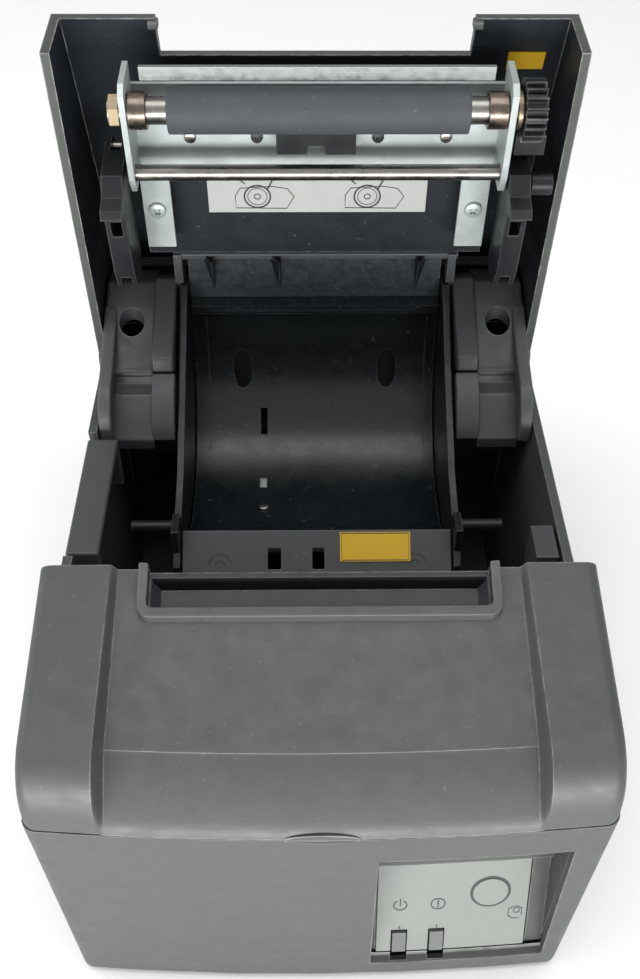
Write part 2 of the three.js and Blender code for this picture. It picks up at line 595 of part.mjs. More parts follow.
// ---- lid: shell and liner ----
function lidOutline(inset) {
  const past = inset ? 2 : 0;
  const radius = LID.radius - inset;
  const tail = arc(0, 0, radius, Math.PI / 2 + LID.slope, LID.tail, 20).map(([y, z]) => [-y, z]);
  const front = LID.front + past;
  const rim = LID.rim - past;
  return [
    [front, rim],
    [front, LID.edge - inset / Math.cos(LID.slope) - past * Math.tan(LID.slope)],
    ...tail,
    [inset ? tail.at(-1)[0] : LID.heel, rim],
  ];
}

function lidShell() {
  const shell = lidPrism(lidOutline(0), -LID.half, LID.half);
  const inner = LID.half - LID.skin;
  const hollow = lidPrism(lidOutline(LID.skin), -inner, inner);
  const notch = lidBox(-LID.notch, LID.notch, LID.front - LID.notchDepth, LID.front + 3, 0, 40);
  let body = shell.subtract(hollow).subtract(notch);
  for (const x of [-LID.half, inner]) {
    body = body.add(lidRod(HINGE.boss, x, x + LID.skin, 0, 0));
    body = body.subtract(lidRod(HINGE.hole, x - 1, x + LID.skin + 1, 0, 0));
  }
  return body;
}
place('lid_shell', lidShell(), charcoal());
place('lid_liner', lidBox(-52, 52, 31, 84, 11.6, 13.4), black());
place('loading_label', lidBox(-32.2, 33.4, 49, 64, 11, 11.3), white());
const labelW = (u) => LID.edge + (LID.front - u) * Math.tan(LID.slope) - LID.skin / Math.cos(LID.slope) - 0.1;
place('static_label', lidPrism([[90.8, labelW(90.8) - 0.3], [96.5, labelW(96.5) - 0.3], [96.5, labelW(96.5)],
  [90.8, labelW(90.8)]], 53.4, 63.7), yellow());
for (const [name, side] of [['left', -1], ['right', 1]]) {
  const [x0, x1] = side < 0 ? [-70.8, -61.5] : [61.5, 70.8];
  place(`hinge_pin_${name}`, rod(HINGE.pin, x0, x1, HINGE.y, HINGE.z), steel());
}

// ---- lid: platen unit ----
function platenFrame() {
  const side = [[50.9, 95], [50.9, 69.8], [50.9, 41], [42.4, 41], [42.4, 69.8]];
  const sheet = [...side, ...side.map(([x, u]) => [-x, u]).reverse()].reverse();
  let frame = lidSheet(sheet, 4.6, 5.8);
  for (const [x0, x1] of [[PLATEN.x - EAR.outer, PLATEN.x - EAR.inner + 0.4], [PLATEN.x + EAR.inner - 0.6,
    PLATEN.x + EAR.outer]]) {
    frame = frame.add(lidPrism([[69, -7], [74, -9], [98.9, -9], [101, -6], [101, 5.5], [69, 5.5]], x0, x1));
    frame = frame.subtract(lidRod(4.1, x0 - 1, x1 + 1, PLATEN.u, PLATEN.w));
    frame = frame.subtract(lidRod(GUIDE.r + 0.3, x0 - 1, x1 + 1, GUIDE.u, GUIDE.w));
  }
  return frame;
}
place('platen_frame', platenFrame(), zinc());
place('platen_shaft', lidRod(PLATEN.shaft, PLATEN.left, PLATEN.right, PLATEN.u, PLATEN.w), steel());

const SLEEVE_BORE = PLATEN.shaft + 0.15;
function sleeve(outer, x0, x1, sides = 32) {
  return lidRod(outer, x0, x1, PLATEN.u, PLATEN.w, sides)
    .subtract(lidRod(SLEEVE_BORE, x0 - 1, x1 + 1, PLATEN.u, PLATEN.w, 32));
}
place('platen_rubber', sleeve(PLATEN.rubber, PLATEN.x - PLATEN.half, PLATEN.x + PLATEN.half), rubber());
place('bearing_left', sleeve(4.9, -49.6, -44.8), steel());
place('bearing_right', sleeve(4.9, 45.4, 50.6), steel());
place('end_nut', sleeve(4.6, -54.6, -51.9, 6), brassy());
place('washer', sleeve(5.3, 53, 54.3), brassy());
place('platen_gear', gear(19, 54.6, 60.2, ...onLid([PLATEN.u, PLATEN.w]), SLEEVE_BORE), black());
place('blade_bar', lidBox(-46.4, 47, 99.4, 103.3, -2, -0.6), steel());
place('guide_shaft', lidRod(GUIDE.r, -50.8, 51.9, GUIDE.u, GUIDE.w), steel());
place('paper_sensor', lidBox(-11, 11, 77, 85.6, -1.6, 4.3)
  .subtract(lidBox(-2.4, 2.4, 76, 79.6, -3, 3)), black());
place('gear_bracket', lidBox(54.6, 63.2, 77.4, 83.6, -2.6, 6), black());
place('idler_roller', lidRod(3.3, 60.2, 66.4, 69.4, -4), black());
for (const [name, x] of [['left', -46.8], ['right', 46.8]]) {
  const screw = rodBetween(2.6, [x, ...onLid([54.6, 4.3])], [x, ...onLid([54.6, 2.6])]);
  place(`frame_screw_${name}`, screw, steel());
}

// ---- lid: latch, an arm of two side sheets and a web on each side of one shaft ----
const latchSide = [[36, 3.6], [37, -9], [44, -12], [60, -13], [66, -13.6], [67.6, -19], [70, -17.6],
  [71, -13], [75.4, -9], [76.6, 3.6], [76, 11.4], [70, 11.4], [68, 3.6]].reverse();
function latchArm(side) {
  const span = (from, to) => (side < 0 ? [-to, -from] : [from, to]);
  const { inner, outer, sheet } = LATCH;
  const arm = lidPrism(latchSide, ...span(inner, outer));
  const channel = lidPrism([[30, 20], [30, -11], [58, -11], [58, -30], [63, -30], [63, -11.4], [74, -9],
    [74, 2], [90, 2], [90, 20]], ...span(inner + sheet, outer - sheet));
  const bore = lidRod(LATCH.pin + 0.3, ...span(inner - 1, outer + 1), LATCH.u, LATCH.w);
  return arm.subtract(channel).subtract(bore);
}
place('latch_shaft', lidRod(LATCH.pin, -60, 60, LATCH.u, LATCH.w), steel());
for (const [name, side] of [['left', -1], ['right', 1]]) {
  place(`latch_arm_${name}`, latchArm(side), black());
  const x = side * (LATCH.inner + LATCH.outer) / 2;
  const spring = coil([x, ...onLid([41, -7.5])], [x, ...onLid([52, -7.5])], 1.1, 0.32, 7);
  place(`latch_spring_${name}`, spring, steel());
}

// Sit the printer over the origin.
const bounds = new THREE.Box3().setFromObject(printer);
printer.position.y = -(bounds.min.y + bounds.max.y) / 2;
printer.updateMatrixWorld(true);

export default printer;
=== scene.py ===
# Receipt printer with its lid standing open: materials, finer shapes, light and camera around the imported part.
# Metres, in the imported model's frame. mm() takes the part's own design millimetres: Y from the front edge back.
import json
import math

import bmesh
import bpy
from mathutils import Matrix, Vector

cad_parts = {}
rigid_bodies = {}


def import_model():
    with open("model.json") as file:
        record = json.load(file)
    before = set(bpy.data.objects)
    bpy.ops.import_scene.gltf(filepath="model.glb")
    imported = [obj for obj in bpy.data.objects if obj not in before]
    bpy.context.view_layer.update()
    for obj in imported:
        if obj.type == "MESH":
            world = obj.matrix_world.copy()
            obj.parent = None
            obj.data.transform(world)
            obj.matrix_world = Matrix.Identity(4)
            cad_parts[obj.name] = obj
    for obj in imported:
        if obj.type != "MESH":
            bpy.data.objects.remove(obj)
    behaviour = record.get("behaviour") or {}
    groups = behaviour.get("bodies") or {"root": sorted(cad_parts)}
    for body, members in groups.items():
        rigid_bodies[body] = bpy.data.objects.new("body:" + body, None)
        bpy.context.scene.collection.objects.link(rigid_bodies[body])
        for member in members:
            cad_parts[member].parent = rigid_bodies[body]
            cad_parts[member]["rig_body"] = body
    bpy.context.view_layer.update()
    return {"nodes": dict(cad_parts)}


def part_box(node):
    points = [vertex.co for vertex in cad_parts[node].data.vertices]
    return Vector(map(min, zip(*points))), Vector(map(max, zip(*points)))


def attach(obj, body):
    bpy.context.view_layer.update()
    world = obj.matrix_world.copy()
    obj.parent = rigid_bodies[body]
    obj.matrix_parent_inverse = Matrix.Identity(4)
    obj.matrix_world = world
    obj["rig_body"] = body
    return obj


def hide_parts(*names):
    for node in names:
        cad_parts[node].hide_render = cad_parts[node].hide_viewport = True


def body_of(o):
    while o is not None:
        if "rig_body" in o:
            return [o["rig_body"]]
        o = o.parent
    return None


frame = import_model()
nodes = frame["nodes"]

HINGE_Y, HINGE_Z = 159.0, 87.5
LEAN = math.radians(5)                 # how far the open lid leans back
hinge_low, hinge_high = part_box("hinge_pin_left")
SHIFT = (hinge_low[1] + hinge_high[1]) / 2 - HINGE_Y / 1000


def mm(x, y, z):
    return Vector((x / 1000, y / 1000 + SHIFT, z / 1000))


def on_lid(x, u, w):
    """Lid's own frame: u from the hinge to the lid's front edge, w outwards."""
    return mm(x, HINGE_Y + w * math.cos(LEAN) - u * math.sin(LEAN),
              HINGE_Z + u * math.cos(LEAN) + w * math.sin(LEAN))


# ---------------------------------------------------------------- materials
class Graph:
    """Short way to write a node tree."""

    def __init__(self, name):
        self.material = bpy.data.materials.new(name)
        self.material.use_nodes = True
        self.tree = self.material.node_tree
        self.shader = self.tree.nodes["Principled BSDF"]
        self.place = self.tree.nodes.new("ShaderNodeTexCoord").outputs["Object"]

    def node(self, kind, sockets=(), **settings):
        made = self.tree.nodes.new(kind)
        for key, value in settings.items():
            setattr(made, key, value)
        for key, value in dict(sockets).items():
            if isinstance(value, bpy.types.NodeSocket):
                self.tree.links.new(value, made.inputs[key])
            else:
                made.inputs[key].default_value = value
        return made

    def math(self, operation, a, b=0.0, clamp=False):
        return self.node("ShaderNodeMath", {0: a, 1: b}, operation=operation, use_clamp=clamp).outputs[0]

    def ramp(self, value, low, high, out_low=0.0, out_high=1.0):
        made = self.node("ShaderNodeMapRange", {"Value": value, "From Min": low, "From Max": high,
                                                "To Min": out_low, "To Max": out_high})
        return made.outputs["Result"]

    def noise(self, scale, detail=3.0, roughness=0.55, stretch=(1, 1, 1)):
        where = self.node("ShaderNodeMapping", {"Vector": self.place, "Scale": stretch}).outputs["Vector"]
        made = self.node("ShaderNodeTexNoise", {"Vector": where, "Scale": scale, "Detail": detail,
                                                "Roughness": roughness})
        return made.outputs["Fac"]

    def mix(self, share, a, b, blend="MIX"):
        made = self.node("ShaderNodeMix", data_type="RGBA", blend_type=blend, clamp_factor=True)
        for socket, value in ((made.inputs[0], share), (made.inputs[6], a), (made.inputs[7], b)):
            if isinstance(value, bpy.types.NodeSocket):
                self.tree.links.new(value, socket)
            else:
                socket.default_value = value
        return made.outputs[2]

    def set(self, socket, value):
        if isinstance(value, bpy.types.NodeSocket):
            self.tree.links.new(value, self.shader.inputs[socket])
        else:
            self.shader.inputs[socket].default_value = value


LID_RIM = 0.0685                       # the lid's side walls lie beyond this, across
TAIL_REACH = 0.0431                    # the lid's outside below the hinge lies beyond this, from the hinge
GRAIN_DEPTH = 0.0002
DUST = (0.14, 0.15, 0.16, 1)


def outer_faces(g):
    """1 on the lid's outer skin, rim and tail, 0 inside it."""
    out_way, up_way = (0, math.cos(LEAN), math.sin(LEAN)), (0, -math.sin(LEAN), math.cos(LEAN))
    across = g.node("ShaderNodeSeparateXYZ", {"Vector": g.place}).outputs["X"]
    rim = g.math("GREATER_THAN", g.math("ABSOLUTE", across), LID_RIM)
    normal = g.tree.nodes["Texture Coordinate"].outputs["Normal"]
    facing = [g.node("ShaderNodeVectorMath", {0: normal, 1: way}, operation="DOT_PRODUCT").outputs["Value"]
              for way in (out_way, up_way)]
    skin = g.math("ADD", g.math("GREATER_THAN", facing[0], 0.3), g.math("GREATER_THAN", facing[1], 0.8), True)
    hinge = g.node("ShaderNodeVectorMath", {0: g.place, 1: mm(0, HINGE_Y, HINGE_Z)}, operation="SUBTRACT")
    flat = g.node("ShaderNodeVectorMath", {0: hinge.outputs["Vector"], 1: (0, 1, 1)}, operation="MULTIPLY")
    reach = g.node("ShaderNodeVectorMath", {0: flat.outputs["Vector"]}, operation="LENGTH").outputs["Value"]
    above = g.node("ShaderNodeVectorMath", {0: flat.outputs["Vector"], 1: up_way},
                   operation="DOT_PRODUCT").outputs["Value"]
    tail = g.math("MULTIPLY", g.math("GREATER_THAN", reach, TAIL_REACH), g.math("LESS_THAN", above, 0.0))
    return g.math("ADD", g.math("ADD", rim, skin, True), tail, True)


def finish_surface(name, colour, rough, metal=0.0, specular=0.5, vary=0.08, cloud=60, grain=(1500, 0.12),
                   edge=None, edge_width=0.0006, specks=None, stretch=(1, 1, 1), rough_vary=0.08, outside=None):
    """Moulded, rolled or rubber surface: clouding, fine grain, worn edges and specks of dust.

    grain is (scale, strength), edge is (red, green, blue, share), specks is (scale, share, colour), and outside
    is the colour of the lid's outer faces.
    """
    g = Graph(name)
    cloud_noise = g.noise(cloud, 4, 0.6, stretch)
    shade = g.ramp(cloud_noise, 0.3, 0.7, 1 - vary, 1 + vary)
    if outside:
        colour = g.mix(outer_faces(g), colour, outside)
    base = g.mix(1.0, colour, g.node("ShaderNodeCombineColor", {0: shade, 1: shade, 2: shade}).outputs[0],
                 "MULTIPLY")
    if specks:
        spots = g.ramp(g.noise(specks[0], 2, 0.5), 0.68, 0.76, 0.0, specks[1])
        base = g.mix(spots, base, specks[2])
    if edge:
        round_normal = g.node("ShaderNodeBevel", {"Radius": edge_width}, samples=4).outputs["Normal"]
        true_normal = g.node("ShaderNodeNewGeometry").outputs["Normal"]
        turn = g.node("ShaderNodeVectorMath", {0: round_normal, 1: true_normal},
                      operation="DOT_PRODUCT").outputs["Value"]
        wear = g.math("MULTIPLY", g.ramp(turn, 0.99, 0.86), g.ramp(g.noise(260, 3), 0.35, 0.6, 0.25, 1.0), True)
        base = g.mix(g.math("MULTIPLY", wear, edge[3]), base, (*edge[:3], 1))
    g.set("Base Color", base)
    g.set("Roughness", g.ramp(g.noise(cloud * 3, 3), 0.3, 0.7, rough - rough_vary, rough + rough_vary))
    g.set("Metallic", metal)
    g.set("Specular IOR Level", specular)
    bump = g.node("ShaderNodeBump", {"Height": g.noise(grain[0], 2, 0.5, stretch), "Strength": grain[1],
                                     "Distance": GRAIN_DEPTH})
    g.set("Normal", bump.outputs["Normal"])
    return g.material


looks = {
    "case": finish_surface("case_grey", (0.045, 0.049, 0.046, 1), 0.48, vary=0.03, grain=(2600, 0.10),
                           edge=(0.32, 0.32, 0.31, 0.55), specks=(900, 0.12, (0.3, 0.3, 0.3, 1))),
    "inner": finish_surface("inner_grey", (0.035, 0.038, 0.040, 1), 0.45, vary=0.10, grain=(2400, 0.10),
                            edge=(0.22, 0.22, 0.22, 0.5), specks=(700, 0.25, (0.2, 0.2, 0.2, 1))),
    "lid_in": finish_surface("lid_inner", (0.008, 0.011, 0.013, 1), 0.5, specular=0.25, vary=0.12,
                             grain=(2200, 0.12), edge=(0.35, 0.35, 0.35, 0.8), specks=(620, 0.35, DUST)),
    "lid": finish_surface("lid_two_tone", (0.010, 0.013, 0.016, 1), 0.48, specular=0.35, grain=(2200, 0.12),
                          edge=(0.40, 0.40, 0.40, 0.8), specks=(620, 0.2, DUST),
                          outside=(0.048, 0.052, 0.048, 1)),
    "black": finish_surface("black_moulding", (0.008, 0.009, 0.011, 1), 0.36, specular=0.3, vary=0.12,
                            grain=(2000, 0.08), edge=(0.16, 0.16, 0.16, 0.6)),
    "gloss": finish_surface("gloss_moulding", (0.006, 0.009, 0.011, 1), 0.27, vary=0.15, grain=(300, 0.05),
                            edge=(0.25, 0.25, 0.25, 0.5), edge_width=0.0004,
                            specks=(520, 0.5, (0.12, 0.13, 0.14, 1)), rough_vary=0.05),
    "steel": finish_surface("ground_steel", (0.25, 0.24, 0.22, 1), 0.32, metal=1.0, vary=0.10, cloud=120,
                            grain=(900, 0.08), stretch=(0.06, 1, 1)),
    "zinc": finish_surface("zinc_sheet", (0.36, 0.40, 0.392, 1), 0.48, metal=0.45, vary=0.14, cloud=90,
                           grain=(1300, 0.10)),
    "brass": finish_surface("turned_brass", (0.21, 0.17, 0.11, 1), 0.36, metal=1.0, vary=0.12, grain=(1300, 0.08)),
    "rubber": finish_surface("roller_rubber", (0.040, 0.045, 0.052, 1), 0.7, specular=0.4, vary=0.06, cloud=70,
                             grain=(2600, 0.2), specks=(800, 0.2, (0.25, 0.25, 0.25, 1)), stretch=(0.3, 1, 1)),
    "foot": finish_surface("foot_rubber", (0.012, 0.012, 0.012, 1), 0.8, grain=(1800, 0.2)),
    "silver": finish_surface("silver_film", (0.155, 0.166, 0.154, 1), 0.45, vary=0.03, grain=(2800, 0.05)),
    "white": finish_surface("white_film", (0.34, 0.35, 0.335, 1), 0.5, vary=0.02, grain=(2400, 0.04)),
    "yellow": finish_surface("yellow_film", (0.54, 0.33, 0.002, 1), 0.55, vary=0.03, grain=(2400, 0.04)),
    "board": finish_surface("solder_mask", (0.012, 0.09, 0.05, 1), 0.3, vary=0.2, cloud=300, grain=(700, 0.2)),
    "clear": finish_surface("clear_pipe", (0.10, 0.105, 0.10, 1), 0.2, vary=0.05, grain=(900, 0.04)),
    "ceramic": finish_surface("head_glaze", (0.20, 0.12, 0.07, 1), 0.2, vary=0.1, grain=(900, 0.03)),
    "ink": finish_surface("printed_ink", (0.02, 0.021, 0.022, 1), 0.5, vary=0.1, grain=(2000, 0.03)),
    "worn": finish_surface("worn_ledge", (0.014, 0.018, 0.021, 1), 0.3, vary=0.3, cloud=400, grain=(900, 0.3),
                           specks=(1500, 0.7, (0.25, 0.28, 0.29, 1))),
    "blade": finish_surface("bright_blade", (0.24, 0.26, 0.255, 1), 0.36, metal=1.0, vary=0.08, cloud=160,
                            grain=(1200, 0.08), stretch=(0.06, 1, 1)),
    "bearing": finish_surface("oiled_bronze", (0.16, 0.13, 0.11, 1), 0.3, metal=1.0, vary=0.2, cloud=240,
                              grain=(900, 0.1)),
    "back": finish_surface("bay_back", (0.014, 0.020, 0.024, 1), 0.36, vary=0.25, cloud=200, grain=(1600, 0.12),
                           edge=(0.3, 0.3, 0.3, 0.5), specks=(900, 0.5, (0.12, 0.14, 0.15, 1))),
    "alloy": finish_surface("cast_alloy", (0.6, 0.61, 0.62, 1), 0.4, metal=1.0, vary=0.12, grain=(1200, 0.2)),
}

SLOT_LOOK = {
    "case_plastic": "case", "black_plastic": "black", "gloss_black": "gloss", "bright_steel": "steel",
    "zinc_sheet": "zinc", "brass_parts": "brass", "roller_rubber": "rubber", "foot_rubber": "foot",
    "silver_sheet": "silver", "white_film": "white", "yellow_film": "yellow", "board_green": "board",
    "clear_plastic": "clear", "head_ceramic": "ceramic", "alloy": "alloy",
}


# ---------------------------------------------------------------- shapes
WELD_CAD, WELD_GRID, WELD_CUT, WELD_PRINT = 2e-6, 2e-5, 1e-6, 1e-7     # merging distances
SMOOTH_BELOW = 35                      # degrees between faces that still shade as one


def mesh_from(bm, name, outward=True):
    """Ends a bmesh as a mesh, with its faces turned outwards first if asked."""
    if outward:
        bmesh.ops.recalc_face_normals(bm, faces=bm.faces)
    mesh = bpy.data.meshes.new(name)
    bm.to_mesh(mesh)
    bm.free()
    return mesh


def shaded(mesh, angle=SMOOTH_BELOW):
    mesh.polygons.foreach_set("use_smooth", [True] * len(mesh.polygons))
    mesh.set_sharp_from_angle(angle=math.radians(angle))


def settle(piece):
    """Applies the piece's modifiers."""
    depsgraph = bpy.context.evaluated_depsgraph_get()
    mesh = bpy.data.meshes.new_from_object(piece.evaluated_get(depsgraph))
    piece.modifiers.clear()
    piece.data = mesh


def add_piece(name, mesh, look, body, stands_for=()):
    piece = bpy.data.objects.new(name, mesh)
    bpy.context.collection.objects.link(piece)
    mesh.materials.clear()
    mesh.materials.append(looks[look])
    shaded(mesh)
    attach(piece, body)
    if stands_for:
        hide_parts(*stands_for)
    return piece


def thicken(piece, thickness, offset=-1):
    """Gives a sheet its wall, in millimetres: offset -1 behind its faces, 0 about them, 1 in front."""
    wall = piece.modifiers.new("wall", "SOLIDIFY")
    wall.thickness = thickness / 1000
    wall.offset = offset
    settle(piece)


def even_shading(piece):
    """Smooth faces whose normals follow the larger faces."""
    shaded(piece.data, 50)
    weighted = piece.modifiers.new("shading", "WEIGHTED_NORMAL")
    weighted.keep_sharp = True
    settle(piece)


def round_edges(piece, width, segments=2, angle=28):
    bevel = piece.modifiers.new("edges", "BEVEL")
    bevel.width = width / 1000
    bevel.segments = segments
    bevel.limit_method = "ANGLE"
    bevel.angle_limit = math.radians(angle)
    bevel.use_clamp_overlap = True
    bevel.miter_outer = "MITER_ARC"
    settle(piece)
    even_shading(piece)


def refined(node, look=None, width=0.25):
    """The CAD node's own shape with its flat faces joined and its edges rounded."""
    source = nodes[node]
    slot = source.data.materials[0].name
    bm = bmesh.new()
    bm.from_mesh(source.data)
    bmesh.ops.remove_doubles(bm, verts=bm.verts, dist=WELD_CAD)
    bmesh.ops.dissolve_limit(bm, angle_limit=math.radians(0.6), verts=bm.verts, edges=bm.edges)
    mesh = mesh_from(bm, node + "_shape", False)
    piece = add_piece(node + "_shape", mesh, look or SLOT_LOOK[slot], body_of(source)[0], (node,))
    if width:
        round_edges(piece, width)
    return piece


# ---------------------------------------------------------------- front cover
BOW = 3.2                              # how far the middle of the front stands ahead of its ends
BOW_END, BOW_FADE = 36, 30             # y where the bow has gone, and the length it fades over
FRONT_HALF = 71.0
COVER_HALF, COVER_REAR = 70.2, 51.2
COVER_WALL = 1.9
SEAM_FRONT, SEAM_REAR = 77.1, 84.8     # height of the seam under the cover
CORNER = 3.4                           # rounding of the cover's front corners
CORNER_TAPER = 0.9                     # how much less it is at the cover's rear
STEP_AT, STEP_HALF = 51.5, 0.9         # shoulder step: its place across and half its width
SIDE_PROFILE = [(-4.9, 77.2), (-4.9, 79.5), (-4.6, 82.2), (-4.1, 84.6), (-3.3, 87.0), (-2.1, 89.4), (-0.5, 91.6),
                (1.6, 93.6), (4.4, 95.3), (8.4, 96.7), (20, 99.2), (36, 102.7), (COVER_REAR, 106)]
CENTRE_PROFILE = [(-5.2, 77.2), (-4.6, 78.6), (-3.6, 80.0), (-2.3, 81.4), (-0.6, 83.1), (1.4, 85.0), (3.8, 87.1),
                  (6.6, 89.3), (8.7, 90.85), (9.9, 91.55), (20, 94.7), (36, 99.6), (COVER_REAR, 104.2)]


def bowed(x, y):
    """y moved forward by the bow of the front."""
    fade = min(max((BOW_END - y) / BOW_FADE, 0), 1)
    return y - BOW * fade * max(0.0, 1 - (x / FRONT_HALF) ** 2)


def seam_height(y):
    return SEAM_FRONT + max(y, 0) * (SEAM_REAR - SEAM_FRONT) / COVER_REAR


def smooth(value):
    """Eased step from 0 to 1."""
    value = min(max(value, 0), 1)
    return value * value * (3 - 2 * value)


def grid_mesh(name, rows):
    """Mesh from rows of points, all rows as long as the first."""
    bm = bmesh.new()
    verts = [[bm.verts.new(point) for point in row] for row in rows]
    for low, high in zip(verts, verts[1:]):
        for i in range(len(low) - 1):
            bm.faces.new((low[i], low[i + 1], high[i + 1], high[i]))
    bmesh.ops.remove_doubles(bm, verts=bm.verts, dist=WELD_GRID)
    bmesh.ops.dissolve_degenerate(bm, edges=bm.edges, dist=WELD_GRID / 2)
    return mesh_from(bm, name, False)


def finer(profile, count):
    """Catmull-Rom points through a profile, count to each span."""
    points = []
    for i in range(len(profile) - 1):
        a, b = profile[max(i - 1, 0)], profile[i]
        c, d = profile[i + 1], profile[min(i + 2, len(profile) - 1)]
        for k in range(count):
            t = k / count
            points.append(tuple(0.5 * (2 * b[j] + (c[j] - a[j]) * t
                                       + (2 * a[j] - 5 * b[j] + 4 * c[j] - d[j]) * t * t
                                       + (3 * b[j] - a[j] - 3 * c[j] + d[j]) * t ** 3) for j in (0, 1)))
    return points + [profile[-1]]


def cover_columns():
    """Places across the cover, closer together at the shoulder steps and the corners."""
    step = [STEP_AT + part * STEP_HALF for part in (-1, -0.5, 0, 0.5, 1)]
    across = [0, 6, 12, 18, 24, 30, 36, 42, 46, 49, *step, 54, 57, 60, 63, 65, COVER_HALF - CORNER]
    turn = [COVER_HALF - CORNER + CORNER * math.sin(math.radians(a)) for a in range(10, 91, 10)]
    half = across + turn
    return [-x for x in reversed(half[1:])] + half


def cover_shell():
    """The cover's skin: the shoulders' profile at its sides and the lower one between the steps."""
    side, centre = finer(SIDE_PROFILE, 2), finer(CENTRE_PROFILE, 2)
    rows = []
    for k, (s, c) in enumerate(zip(side, centre)):
        before, after = side[max(k - 1, 0)], side[min(k + 1, len(side) - 1)]
        along = Vector((after[0] - before[0], after[1] - before[1])).normalized()
        radius = CORNER - CORNER_TAPER * k / (len(side) - 1)
        row = []
        for x in cover_columns():
            share = smooth((STEP_AT + STEP_HALF - abs(x)) / (2 * STEP_HALF))
            y, z = (a + (b - a) * share for a, b in zip(s, c))
            past = max(abs(x) - (COVER_HALF - CORNER), 0) / CORNER
            sink = radius * (1 - math.sqrt(max(1 - past * past, 0)))
            y, z = y + along.y * sink, max(z - along.x * sink, seam_height(y))
            row.append((x, y, z))
        rows.append([mm(x, bowed(x, y), z) for x, y, z in row])
    mesh = grid_mesh("cover_shell", rows)
    bm = bmesh.new()
    bm.from_mesh(mesh)
    for end, x in ((0, -COVER_HALF), (-1, COVER_HALF)):
        foot = bm.verts.new(mm(x, COVER_REAR, seam_height(COVER_REAR)))
        edge = [min(bm.verts, key=lambda vert: (vert.co - row[end]).length) for row in rows]
        bm.faces.new(list(dict.fromkeys(edge)) + [foot])
    bmesh.ops.recalc_face_normals(bm, faces=bm.faces)
    bm.to_mesh(mesh)
    bm.free()
    cover = add_piece("cover_shell", mesh, "case", "front_cover", ("front_cover",))
    thicken(cover, COVER_WALL)
    bm = bmesh.new()
    bm.from_mesh(cover.data)
    bmesh.ops.recalc_face_normals(bm, faces=bm.faces)
    bm.to_mesh(cover.data)
    bm.free()
    return cover


def block(name, x0, x1, y0, y1, z0, z1):
    bm = bmesh.new()
    bmesh.ops.create_cube(bm, size=1)
    low, high = mm(x0, y0, z0), mm(x1, y1, z1)
    for vert in bm.verts:
        vert.co = Vector([(low[i] + high[i]) / 2 + vert.co[i] * (high[i] - low[i]) for i in range(3)])
    return mesh_from(bm, name, False)


def cut(piece, *tools):
    """Takes closed tool meshes away from a piece."""
    for tool in tools:
        helper = bpy.data.objects.new("tool", tool)
        bpy.context.collection.objects.link(helper)
        boolean = piece.modifiers.new("cut", "BOOLEAN")
        boolean.object = helper
        boolean.solver = "EXACT"
        settle(piece)
        bpy.data.objects.remove(helper)
    bm = bmesh.new()
    bm.from_mesh(piece.data)
    bmesh.ops.remove_doubles(bm, verts=bm.verts, dist=WELD_CUT)
    bm.to_mesh(piece.data)
    bm.free()
    shaded(piece.data)


def prism(name, outline, x0, x1, point=mm):
    """Closed body: an outline of (y, z) pairs, or the lid's (u, w), carried across from x0 to x1."""
    bm = bmesh.new()
    left = [bm.verts.new(point(x0, *p)) for p in outline]
    right = [bm.verts.new(point(x1, *p)) for p in outline]
    bm.faces.new(left)
    bm.faces.new(right[::-1])
    for i in range(len(outline)):
        j = (i + 1) % len(outline)
        bm.faces.new((left[i], right[i], right[j], left[j]))
    return mesh_from(bm, name)


def slab(name, outline, top, bottom, point):
    """Closed body: an outline of (a, b) pairs between two levels, placed by point(a, b, level)."""
    bm = bmesh.new()
    high = [bm.verts.new(point(a, b, top)) for a, b in outline]
    low = [bm.verts.new(point(a, b, bottom)) for a, b in outline]
    bm.faces.new(high)
    bm.faces.new(low[::-1])
    for i in range(len(outline)):
        j = (i + 1) % len(outline)
        bm.faces.new((high[i], low[i], low[j], high[j]))
    return mesh_from(bm, name)


def turned(name, profile, base, axis, sides=32):
    """Lathe: (radius, height) pairs turned about an axis through base."""
    axis = Vector(axis).normalized()
    across = axis.orthogonal().normalized()
    beside = axis.cross(across)
    bm = bmesh.new()
    rings = []
    for radius, height in profile:
        centre = Vector(base) + axis * height / 1000
        if radius <= 0:
            rings.append([bm.verts.new(centre)] * sides)
        else:
            rings.append([bm.verts.new(centre + (across * math.cos(a) + beside * math.sin(a)) * radius / 1000)
                          for a in (2 * math.pi * i / sides for i in range(sides))])
    for low, high in zip(rings, rings[1:]):
        for i in range(sides):
            j = (i + 1) % sides
            corners = list(dict.fromkeys((low[i], low[j], high[j], high[i])))
            if len(corners) > 2:
                bm.faces.new(corners)
    for ring in (rings[0], rings[-1]):
        if ring[0] is not ring[1]:
            bm.faces.new(ring)
    return mesh_from(bm, name)


EXIT_HALF, EXIT_INSIDE = 45.2, 42.8    # paper exit: half width outside and inside its rim
EXIT_FRONT, EXIT_LIP = 37.5, 40.7      # y of the rim's front and of the opening behind it
RIM_FRONT, RIM_REAR = 102.4, 107.2     # height of the rim at its front and rear


def rounded_u(half, front, radius, rear, steps=5):
    """Plan of the exit rim's outer or inner edge, open at the rear: from rear left round to rear right."""
    points = [(-half, rear)]
    for x_side, start in ((-1, math.pi), (1, 1.5 * math.pi)):
        for i in range(steps + 1):
            angle = start + i * math.pi / 2 / steps
            points.append((x_side * (half - radius) + radius * math.cos(angle),
                           front + radius + radius * math.sin(angle)))
    return points + [(half, rear)]


def rim_height(y):
    return RIM_FRONT + (y - EXIT_FRONT) * (RIM_REAR - RIM_FRONT) / (COVER_REAR - EXIT_FRONT)


